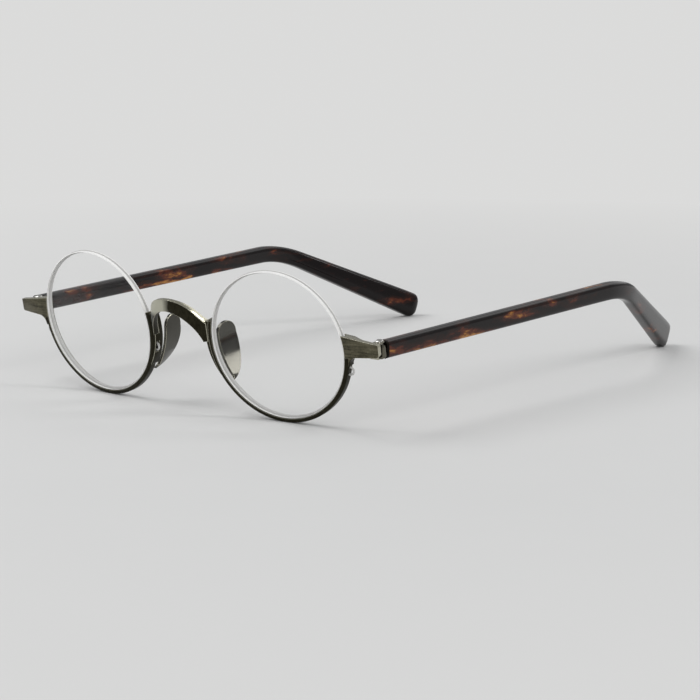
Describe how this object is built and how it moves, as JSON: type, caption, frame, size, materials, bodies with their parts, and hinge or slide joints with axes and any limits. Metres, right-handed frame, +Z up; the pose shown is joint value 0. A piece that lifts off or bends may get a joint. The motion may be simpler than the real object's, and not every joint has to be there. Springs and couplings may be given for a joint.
{
  "type": "round reading glasses",
  "caption": "Round reading glasses with a metal lower half rim, nylon cord over each lens, bowed strip bridge, leaf nose pads and folding acetate temples.",
  "frame": {"origin": "on the surface that the open glasses stand on, in the middle of their width and length", "axes": "+X towards the wearer's left, +Y backwards along the open temples, +Z up"},
  "size_m": [0.1244, 0.1647, 0.0377],
  "materials": {
    "antique_metal": "antique olive-brass, satin, with polished edges",
    "pad_metal": "polished",
    "hinge_metal": "satin",
    "screw_steel": "polished",
    "wire_metal": "drawn wire",
    "lens": "clear, coated, with a frosted edge",
    "clear_nylon": "translucent",
    "tortoise_acetate": "polished dark tortoise"
  },
  "bodies": {
    "front": {"rim_left": "antique_metal", "rim_right": "antique_metal", "rim_liner_left": "clear_nylon", "rim_liner_right": "clear_nylon", "lens_left": "lens", "lens_right": "lens", "lens_cord_left": "clear_nylon", "lens_cord_right": "clear_nylon", "bridge": "antique_metal", "nose_pad_left": "pad_metal", "nose_pad_right": "pad_metal", "end_piece_left": "antique_metal", "end_piece_right": "antique_metal", "hinge_front_left": "hinge_metal", "hinge_front_right": "hinge_metal", "hinge_screw_left": "screw_steel", "hinge_screw_right": "screw_steel"},
    "left_side": {"hinge_temple_left": "hinge_metal", "end_cap_left": "antique_metal", "temple_left": "tortoise_acetate", "core_wire_left": "wire_metal"},
    "right_side": {"hinge_temple_right": "hinge_metal", "end_cap_right": "antique_metal", "temple_right": "tortoise_acetate", "core_wire_right": "wire_metal"}
  },
  "joints": [
    {"name": "fold_left", "type": "hinge", "parent": "front", "child": "left_side", "pos_m": [0.05689, -0.06938, 0.02059], "axis": [0, -0.1805, 0.9836], "range_deg": [0, 75]},
    {"name": "fold_right", "type": "hinge", "parent": "front", "child": "right_side", "pos_m": [-0.05689, -0.06938, 0.02059], "axis": [0, 0.1805, -0.9836], "range_deg": [0, 84]}
  ]
}
